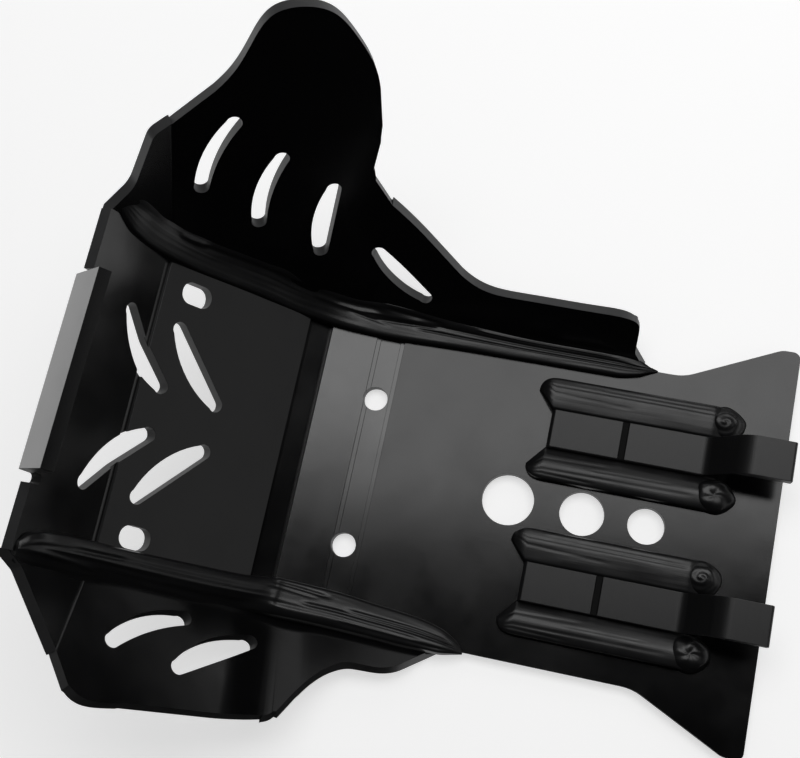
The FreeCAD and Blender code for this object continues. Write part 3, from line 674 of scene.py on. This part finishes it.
# Distance from the strip and height, of the beads towards the right and towards the left
RIGHTWARD_BEAD = [(-0.8, -2), (-0.8, 5), (0, 7.0), (1.2, 8.1), (3, 8.4), (6, 8.7), (10, 8.9),
                  (13, 8.95), (15.4, 8.7), (18, 8.1), (20.2, 7.4), (21.4, 6.4), (21.9, 4.8),
                  (22.1, 2), (22.1, -2)]
LEFTWARD_BEAD = [(-0.8, -2), (-0.8, 1), (0, 2.4), (2, 3.2), (4.5, 4.4), (7.5, 5.7), (10, 6.5),
                 (12.5, 6.9), (16, 6.8), (19, 6.4), (20.8, 5.8), (21.6, 4.8), (21.95, 3),
                 (22.1, 0.5), (22.1, -2)]


def hook_bead(name, node, hook, outward, section, marks, seed):
    """Bead on one side of a strip.

    Hook and outward are -1 towards the right wing and 1 towards the left one.
    """
    edge_y = hook * HOOK_MIDDLE + outward * HOOK_HALF_WIDTH
    shape = smooth_track(np.linspace(0, 1, len(section)), section, np.linspace(0, 1, 57))
    at = np.concatenate([np.linspace(HOOK_REAR, HOOK_FRONT, 88)[:-1],
                         HOOK_FRONT + HOOK_NOSE * np.sin(np.linspace(0, math.pi / 2, 22))])
    share = np.clip((at - HOOK_FRONT) / HOOK_NOSE, 0, 1)
    lip = np.clip((at - HOOK_FRONT + 5) / (HOOK_NOSE + 5), 0, 1)
    near = NOSE_OUT * share
    far = BEAD_WIDTH - (BEAD_WIDTH - NOSE_OUT) * (1 - np.sqrt(1 - lip ** 3.2))
    rise = np.sqrt(np.clip(1 - share ** 2.2, 0, 1))
    rise *= np.clip((at - HOOK_REAR) / 16 + 0.55, 0, 1) ** 0.6
    spread = np.clip(shape[:, 0] / BEAD_WIDTH, 0, 1)
    out = near[:, None] + (far - near)[:, None] * spread + np.minimum(shape[:, 0], 0)
    up = np.where(shape[:, 1] > 0, shape[:, 1] * rise[:, None], shape[:, 1])
    x = np.repeat(at[:, None], len(shape), axis=1)
    points = np.stack([x, edge_y + outward * out, 8 + up], axis=2)
    height = weld_texture(x, np.repeat(spread[None], len(at), axis=0), marks, 0.06, seed)
    height *= (spread > 0.05) * (spread < 0.97) * (1 - 0.6 * share)[:, None]
    points = raised(points, height)
    points = np.concatenate([points, points[:, :1]], axis=1) / 1000
    bead = rolled_bead(name, points, (0.1205, 0.06))

    bpy.ops.object.select_all(action="DESELECT")
    bpy.ops.mesh.primitive_uv_sphere_add(segments=72, ring_count=48, radius=1)
    blob = bpy.context.object
    spots = np.empty(len(blob.data.vertices) * 3)
    blob.data.vertices.foreach_get("co", spots)
    spots = spots.reshape(-1, 3)
    for spot in spots:
        around, off = math.atan2(spot[1], spot[0]), math.hypot(spot[0], spot[1])
        lump = 0.9 * noise.noise(Vector(spot) * 1.6 + Vector((seed, 0, 0)))
        if outward < 0:
            lump += 0.28 * math.sin(off * 19 + around) * (1 - 0.4 * off)
        else:
            lump += -2.2 * math.exp(-(off / 0.36) ** 2)
            lump += 0.6 * math.sin(5 * around + 5 * off) * off * (1.2 - off)
        spot *= BLOB_RADIUS + (lump if spot[2] > 0 else 0)
    spots[:, 0] *= 1.2
    spots[:, 2] = np.where(spots[:, 2] > 0, spots[:, 2] * 0.86, spots[:, 2] * 0.3)
    spots += (HOOK_REAR - 0.5, edge_y + outward * 11.4, 7.8)
    blob.data.vertices.foreach_set("co", (spots / 1000).reshape(-1))
    blob.data.materials.append(pressed_weld)
    uv = blob.data.uv_layers.active
    uv.name = "along_bead"
    twist = np.empty(len(uv.data) * 2)
    uv.data.foreach_get("uv", twist)
    uv.data.foreach_set("uv", (twist.reshape(-1, 2)[:, ::-1] * (0.02, 0.05)).reshape(-1))
    bpy.ops.object.shade_smooth()
    bead.select_set(True)
    bpy.context.view_layer.objects.active = bead
    bpy.ops.object.join()
    bead.data.update()
    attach(bead, "root")
    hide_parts(node)


RIGHTWARD_MARKS = [((-220, 0.7), (-112, 0.72), 0.5, -0.3), ((-214, 0.82), (-150, 0.8), 0.4, -0.15),
                   ((-168, 0.4), (-112, 0.5), 0.5, -0.2), ((-222, 0.9), (-130, 0.9), 0.8, 0.15)]
LEFTWARD_MARKS = [((-212, 0.66), (-112, 0.7), 0.5, -0.25), ((-160, 0.3), (-112, 0.36), 0.8, -0.3),
                  ((-200, 0.44), (-150, 0.46), 0.6, -0.15), ((-150, 0.85), (-112, 0.8), 0.6, -0.25)]
hook_bead("right_hook_outer_weld", "right_hook_outer_bead", -1, -1,
          RIGHTWARD_BEAD, RIGHTWARD_MARKS, 11.0)
hook_bead("right_hook_inner_weld", "right_hook_inner_bead", -1, 1,
          LEFTWARD_BEAD, LEFTWARD_MARKS, 13.0)
hook_bead("left_hook_inner_weld", "left_hook_inner_bead", 1, -1,
          RIGHTWARD_BEAD, RIGHTWARD_MARKS, 17.0)
hook_bead("left_hook_outer_weld", "left_hook_outer_bead", 1, 1,
          LEFTWARD_BEAD, LEFTWARD_MARKS, 19.0)


# Studio. A pale floor, one large soft lamp above the right side, a soft panel behind the
# plate, one to its right and a low card in front of it. Black drapes and cloths, which
# only reflections see, keep the room that the plate mirrors dark.

bpy.ops.object.select_all(action="DESELECT")
bpy.ops.mesh.primitive_plane_add(size=5.0, location=(0, 0, -0.0005))
floor = bpy.context.object
floor.name = "floor"


def seen_rays(material):
    """1 for rays from the camera, straight, let through or mirrored, and 0 for the rest."""
    path = add_node(material, "ShaderNodeLightPath")
    direct = add_node(material, "ShaderNodeMath", {"operation": "MAXIMUM"},
                      {0: path.outputs["Is Camera Ray"], 1: path.outputs["Is Transmission Ray"]})
    seen = add_node(material, "ShaderNodeMath", {"operation": "MAXIMUM"},
                    {0: direct.outputs["Value"], 1: path.outputs["Is Glossy Ray"]})
    return seen.outputs["Value"]


floor_paint = new_material("pale_floor")
pale = add_node(floor_paint, "ShaderNodeBsdfDiffuse", {"Color": paint("#dcdcdc")})
lift = add_node(floor_paint, "ShaderNodeEmission", {"Color": paint("#ffffff"), "Strength": 0.6})
bright = add_node(floor_paint, "ShaderNodeAddShader", {},
                  {0: pale.outputs["BSDF"], 1: lift.outputs["Emission"]})
by_ray = add_node(floor_paint, "ShaderNodeMixShader", {},
                  {0: seen_rays(floor_paint), 1: pale.outputs["BSDF"], 2: bright.outputs["Shader"]})
below = add_node(floor_paint, "ShaderNodeBsdfTransparent")
facing = add_node(floor_paint, "ShaderNodeNewGeometry")
one_sided = add_node(floor_paint, "ShaderNodeMixShader", {},
                     {0: facing.outputs["Backfacing"], 1: by_ray.outputs["Shader"],
                      2: below.outputs["BSDF"]})
add_node(floor_paint, "ShaderNodeOutputMaterial", {}, {"Surface": one_sided.outputs["Shader"]})
floor.data.materials.append(floor_paint)


def soft_lamp(name, centre, target, width, height, radiance, turn=0.0):
    """Rectangular lamp of the given radiance; turn is in degrees, for one that faces down."""
    data = bpy.data.lights.new(name, "AREA")
    data.shape = "RECTANGLE"
    data.size = width
    data.size_y = height
    data.energy = radiance * math.pi * width * height
    lamp = bpy.data.objects.new(name, data)
    scene.collection.objects.link(lamp)
    lamp.location = centre
    lamp.rotation_mode = "QUATERNION"
    direction = Vector(target) - Vector(centre)
    if abs(direction.x) + abs(direction.y) > 0.001:
        lamp.rotation_quaternion = direction.to_track_quat("-Z", "Y")
    elif direction.z > 0:
        lamp.rotation_quaternion = (0, 1, 0, 0)
    else:
        half = math.radians(turn / 2)
        lamp.rotation_quaternion = (math.cos(half), 0, 0, math.sin(half))
    lamp.visible_camera = False
    return lamp


soft_lamp("overhead", (-0.25, -0.677, 1.6), (-0.25, -0.677, 0), 1.7, 0.92, 2.4, 7.6)
soft_lamp("rear_panel", (-1.5, -0.28, 0.5), (0, 0, 0.1), 1.15, 0.8, 0.36)
soft_lamp("side_panel", (0.0, -1.6, 1.05), (0, 0.0, 0.05), 1.5, 0.7, 0.5)
soft_lamp("front_card", (0.6, -0.05, 0.01), (0.6, -0.05, 1), 0.5, 0.9, 0.5)

bpy.ops.object.select_all(action="DESELECT")
bpy.ops.mesh.primitive_cylinder_add(vertices=48, radius=2.4, depth=4.0, location=(0, 0, 1.4))
drapes = bpy.context.object
drapes.name = "drapes"
bpy.ops.object.mode_set(mode="EDIT")
bpy.ops.mesh.select_all(action="SELECT")
bpy.ops.mesh.bisect(plane_co=(0, 0, -0.3), plane_no=(0, 0, 1), clear_inner=True)
bpy.ops.object.mode_set(mode="OBJECT")
bpy.ops.object.transform_apply(location=True)
cloths = [drapes]
for name, centre, width, depth in (("left_cloth", (-0.2, 1.28, 0.003), 3.0, 2.3),
                                   ("rear_cloth", (-1.55, -1.45, 0.003), 1.9, 1.9)):
    bpy.ops.object.select_all(action="DESELECT")
    bpy.ops.mesh.primitive_plane_add(size=1.0, location=(0, 0, 0))
    cloths.append(bpy.context.object)
    cloths[-1].name = name
    bpy.ops.transform.resize(value=(width, depth, 1))
    bpy.ops.transform.translate(value=centre)
    bpy.ops.object.transform_apply(location=True, scale=True)
black_cloth = new_material("black_cloth")
dull = add_node(black_cloth, "ShaderNodeBsdfDiffuse", {"Color": paint("#050505")})
add_node(black_cloth, "ShaderNodeOutputMaterial", {}, {"Surface": dull.outputs["BSDF"]})
for cloth in cloths:
    cloth.visible_camera = False
    cloth.visible_diffuse = False
    cloth.visible_shadow = False
    cloth.visible_transmission = False
    cloth.data.materials.append(black_cloth)

world = bpy.data.worlds.new("studio")
scene.world = world
world.use_nodes = True
world.node_tree.nodes.clear()
ambient = add_node(world, "ShaderNodeBackground", {"Color": paint("#ffffff"), "Strength": 0.12})
backdrop = add_node(world, "ShaderNodeBackground", {"Color": paint("#f2f2f2"), "Strength": 1.0})
mix = add_node(world, "ShaderNodeMixShader", {},
               {0: seen_rays(world), 1: ambient.outputs["Background"],
                2: backdrop.outputs["Background"]})
add_node(world, "ShaderNodeOutputWorld", {}, {"Surface": mix.outputs["Shader"]})
